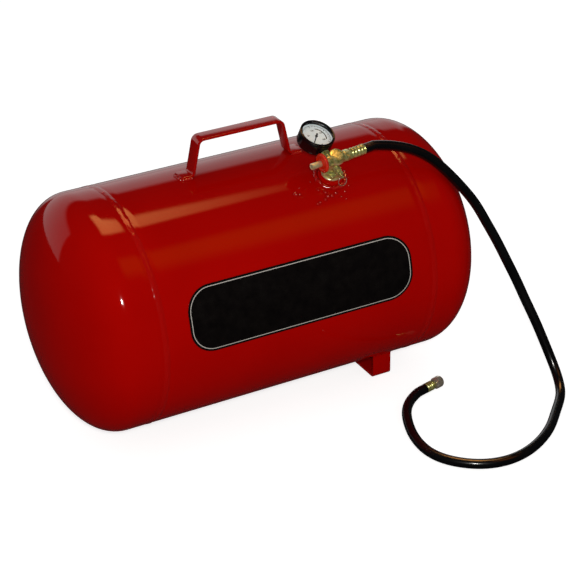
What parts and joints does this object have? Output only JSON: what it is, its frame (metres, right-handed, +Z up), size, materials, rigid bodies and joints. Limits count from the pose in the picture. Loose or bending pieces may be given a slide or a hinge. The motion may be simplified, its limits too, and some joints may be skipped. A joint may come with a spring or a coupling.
{
  "type": "portable air receiver tank",
  "caption": "Horizontal welded steel air receiver with dished ends, strap carry handle, feet, brass manifold with gauge, shut-off knob and safety valve, and an air hose with a chuck.",
  "frame": {"origin": "on the floor, under the middle of the tank", "axes": "+X along the tank towards the manifold end, -Y the labelled front, +Z up"},
  "size_m": [0.6399, 0.4878, 0.3774],
  "materials": {
    "red_gloss_paint": "gloss",
    "black_label_vinyl": "satin",
    "brass": "machined",
    "nickel_plate": "nickel plated",
    "spring_steel": "bright wire",
    "red_knob_plastic": "gloss",
    "black_case_plastic": "gloss",
    "white_dial_enamel": "matt enamel",
    "clear_lens": "clear",
    "hose_rubber": "satin",
    "seal_rubber": "matt"
  },
  "bodies": {
    "tank": {"bonnet_nut": "brass", "bung": "red_gloss_paint", "chuck_body": "nickel_plate", "chuck_seal": "seal_rubber", "chuck_spring": "nickel_plate", "foot_narrow": "red_gloss_paint", "foot_wide": "red_gloss_paint", "gauge_bezel": "black_case_plastic", "gauge_bourdon": "spring_steel", "gauge_case": "black_case_plastic", "gauge_dial": "white_dial_enamel", "gauge_lens": "clear_lens", "gauge_plate": "brass", "gauge_stem": "brass", "handle": "red_gloss_paint", "head_left": "red_gloss_paint", "head_right": "red_gloss_paint", "hose": "hose_rubber", "hose_ferrule": "brass", "hose_nipple": "brass", "label": "black_label_vinyl", "manifold_body": "brass", "packing_ring": "seal_rubber", "safety_body": "brass", "safety_spring": "spring_steel", "tank_shell": "red_gloss_paint", "tip_ferrule": "brass", "tip_nipple": "brass", "weld_left": "red_gloss_paint", "weld_right": "red_gloss_paint"},
    "seat_disc": {"valve_disc": "seal_rubber"},
    "knob": {"valve_spindle": "brass", "valve_knob": "red_knob_plastic", "fill_valve_body": "nickel_plate", "fill_valve_core": "brass"},
    "fill_pin": {"fill_valve_pin": "nickel_plate"},
    "sector": {"gauge_sector": "brass"},
    "pointer": {"gauge_pointer": "black_case_plastic"},
    "relief_poppet": {"safety_poppet": "brass"},
    "relief_ring": {"pull_ring": "spring_steel"},
    "chuck_depressor": {"chuck_pin": "brass"}
  },
  "joints": [
    {"name": "valve_lift", "type": "slide", "parent": "tank", "child": "seat_disc", "axis": [-0.9954, -0.0869, -0.0405], "range_m": [0, 0.0019]},
    {"name": "valve_turn", "type": "hinge", "parent": "seat_disc", "child": "knob", "pos_m": [0.0855, -0.0784, 0.34042], "axis": [-0.9954, -0.0869, -0.0405], "range_deg": [0, 540]},
    {"name": "fill_pin_press", "type": "slide", "parent": "knob", "child": "fill_pin", "axis": [0.9954, 0.0869, 0.0405], "range_m": [0, 0.001], "stiffness_N_per_m": 300, "springref_m": -0.002},
    {"name": "sector_swing", "type": "hinge", "parent": "tank", "child": "sector", "pos_m": [0.08383, -0.04584, 0.35415], "axis": [0.1213, -0.4089, 0.9045], "range_deg": [0, 45], "stiffness_Nm_per_rad": 0.002, "springref_deg": -5.73},
    {"name": "pointer_sweep", "type": "hinge", "parent": "tank", "child": "pointer", "pos_m": [0.07316, -0.04733, 0.35491], "axis": [-0.1213, 0.4089, -0.9045], "range_deg": [0, 270]},
    {"name": "relief_lift", "type": "slide", "parent": "tank", "child": "relief_poppet", "axis": [0.0958, -0.9021, -0.4207], "range_m": [0, 0.0015], "stiffness_N_per_m": 2000, "springref_m": -0.003},
    {"name": "ring_swing", "type": "hinge", "parent": "relief_poppet", "child": "relief_ring", "pos_m": [0.08747, -0.09161, 0.32047], "axis": [0.9954, 0.0869, 0.0405], "range_deg": [-125, 50]},
    {"name": "chuck_pin_press", "type": "slide", "parent": "tank", "child": "chuck_depressor", "axis": [-0.9703, -0.2419, 0], "range_m": [0, 0.0008], "stiffness_N_per_m": 300, "springref_m": -0.002}
  ],
  "couplings": [
    {"joint": "valve_lift", "follows": "valve_turn", "m_per_rad": 0.00019894},
    {"joint": "pointer_sweep", "follows": "sector_swing", "ratio": 6}
  ]
}
